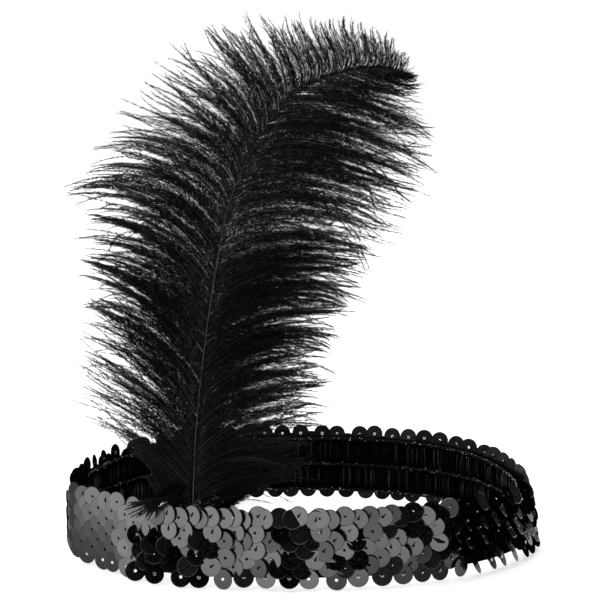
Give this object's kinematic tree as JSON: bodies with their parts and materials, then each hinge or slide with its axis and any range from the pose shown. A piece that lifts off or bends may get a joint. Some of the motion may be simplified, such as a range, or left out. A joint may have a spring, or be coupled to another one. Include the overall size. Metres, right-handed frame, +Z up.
{
  "type": "sequin flapper headband with an ostrich plume",
  "caption": "Elastic headband loop covered in overlapping round sequins, with a tall curling ostrich plume at the front.",
  "frame": {"origin": "middle of the head opening, on the surface that the band stands on", "axes": "+Z up along the plume, +Y to the back of the band, +X to the right of someone who faces its front"},
  "size_m": [0.1869, 0.158, 0.202],
  "materials": {
    "knit": "black ribbed elastic knit with yarn floats and chain stitches",
    "sequins": "glossy black film sequins, each with a centre hole and a stitch",
    "feather": "black dyed ostrich barbs on a slim grey-black shaft"
  },
  "bodies": {
    "root": {"elastic_band": "knit", "sequin_sleeve": "sequins", "plume": "feather"}
  },
  "joints": []
}
